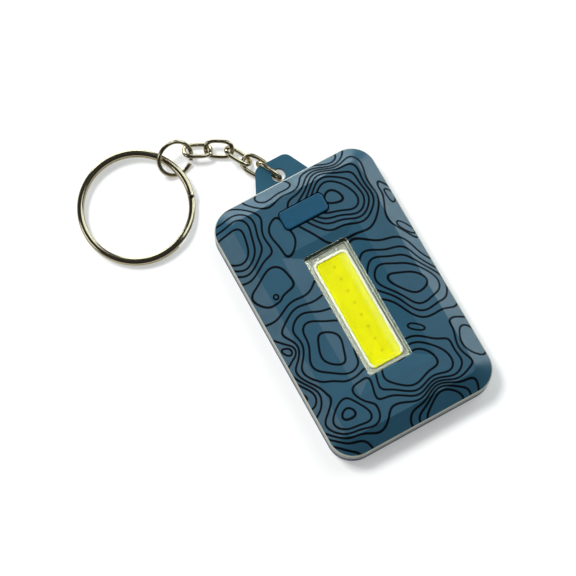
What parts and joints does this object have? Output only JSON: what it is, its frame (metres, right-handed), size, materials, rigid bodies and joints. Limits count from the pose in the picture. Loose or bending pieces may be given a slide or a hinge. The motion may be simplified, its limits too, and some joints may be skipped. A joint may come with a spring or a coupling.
{
  "type": "keychain flashlight",
  "caption": "Flat rectangular keychain flashlight with a strip light under a clear lens, a push button, and a short chain with a split ring.",
  "frame": {"origin": "centre of the flat back of the case, on the surface it lies on", "axes": "+Z out of the lit face, +Y along the case towards the lanyard tab and the chain, +X across the case to the right as seen from the lit face with the tab at the top"},
  "size_m": [0.0609, 0.0822, 0.0089],
  "materials": {
    "printed_plastic": "satin moulded blue plastic with thin black contour lines printed on its top and sloping borders",
    "tab_plastic": "plain satin moulded blue plastic",
    "screw_steel": "blackened small screws",
    "clear_lens": "clear polycarbonate",
    "white_tape": "thermal tape",
    "white_board": "white solder resist",
    "solder": "tinned metal",
    "dam_silicone": "white silicone",
    "chip_blue": "bare light chips",
    "phosphor": "yellow silicone gel with phosphor",
    "button_plastic": "plain satin blue plastic",
    "black_nylon": "black nylon",
    "switch_steel": "thin sheet steel",
    "plunger_nylon": "pale nylon",
    "green_board": "green glass-fibre board",
    "chip_resin": "black moulding resin",
    "resistor_body": "black glazed ceramic",
    "capacitor_body": "tan ceramic",
    "cell_steel": "nickel-plated steel",
    "contact_nickel": "nickel-plated spring sheet",
    "chain_nickel": "polished nickel plate on round steel wire",
    "ring_nickel": "polished nickel plate on flat steel wire"
  },
  "bodies": {
    "housing": {"front_cover": "printed_plastic", "back_shell": "tab_plastic", "case_screws": "screw_steel", "lens": "clear_lens", "cob_tape": "white_tape", "cob_board": "white_board", "cob_pins": "solder", "cob_dam": "dam_silicone", "led_chips": "chip_blue", "cob_phosphor": "phosphor", "switch_body": "black_nylon", "switch_cover": "switch_steel", "switch_legs": "switch_steel", "circuit_board": "green_board", "mode_chip": "chip_resin", "mode_chip_legs": "solder", "current_resistors": "resistor_body", "bypass_capacitor": "capacitor_body", "coin_cell_1": "cell_steel", "coin_cell_2": "cell_steel", "cell_bridge": "contact_nickel", "cell_contact_negative": "contact_nickel", "cell_contact_positive": "contact_nickel"},
    "button": {"button_cap": "button_plastic", "switch_plunger": "plunger_nylon"},
    "link_1": {"chain_link_1": "chain_nickel"},
    "link_2": {"chain_link_2": "chain_nickel"},
    "link_3": {"chain_link_3": "chain_nickel"},
    "link_4": {"chain_link_4": "chain_nickel"},
    "link_5": {"chain_link_5": "chain_nickel"},
    "jump_ring": {"jump_ring": "chain_nickel"},
    "split_ring": {"split_ring": "ring_nickel"}
  },
  "joints": [
    {"name": "button_press", "type": "slide", "parent": "housing", "child": "button", "axis": [0, 0, -1], "range_m": [0, 0.00035], "stiffness_N_per_m": 2000, "springref_m": -0.0004},
    {"name": "link_1_hinge", "type": "hinge", "parent": "housing", "child": "link_1", "pos_m": [0.00007, 0.03119, 0.00224], "axis": [0.0155, 0.0079, -0.9998], "range_deg": [0, 45]},
    {"name": "link_2_hinge", "type": "hinge", "parent": "link_1", "child": "link_2", "pos_m": [-0.00251, 0.03627, 0.00224], "axis": [-0.0155, -0.0079, 0.9998], "range_deg": [-55, 8]},
    {"name": "link_3_hinge", "type": "hinge", "parent": "link_2", "child": "link_3", "pos_m": [-0.00455, 0.03885, 0.00154], "axis": [-0.866, -0.5, 0], "range_deg": [-13, 18]},
    {"name": "link_4_hinge", "type": "hinge", "parent": "link_3", "child": "link_4", "pos_m": [-0.00681, 0.04226, 0.00274], "axis": [-0.4722, -0.5071, 0.7211], "range_deg": [-75, 8]},
    {"name": "link_5_hinge", "type": "hinge", "parent": "link_4", "child": "link_5", "pos_m": [-0.01057, 0.04476, 0.00192], "axis": [-0.3702, -0.673, -0.6403], "range_deg": [-9, 75]},
    {"name": "jump_ring_hinge", "type": "hinge", "parent": "link_5", "child": "jump_ring", "pos_m": [-0.01491, 0.04638, 0.00214], "axis": [-0.3606, -0.7972, 0.4841], "range_deg": [-75, 16]},
    {"name": "split_ring_hinge", "type": "hinge", "parent": "jump_ring", "child": "split_ring", "pos_m": [-0.01876, 0.04492, 0.00237], "axis": [-0.3967, 0.9179, 0.0128], "range_deg": [0, 110]}
  ]
}
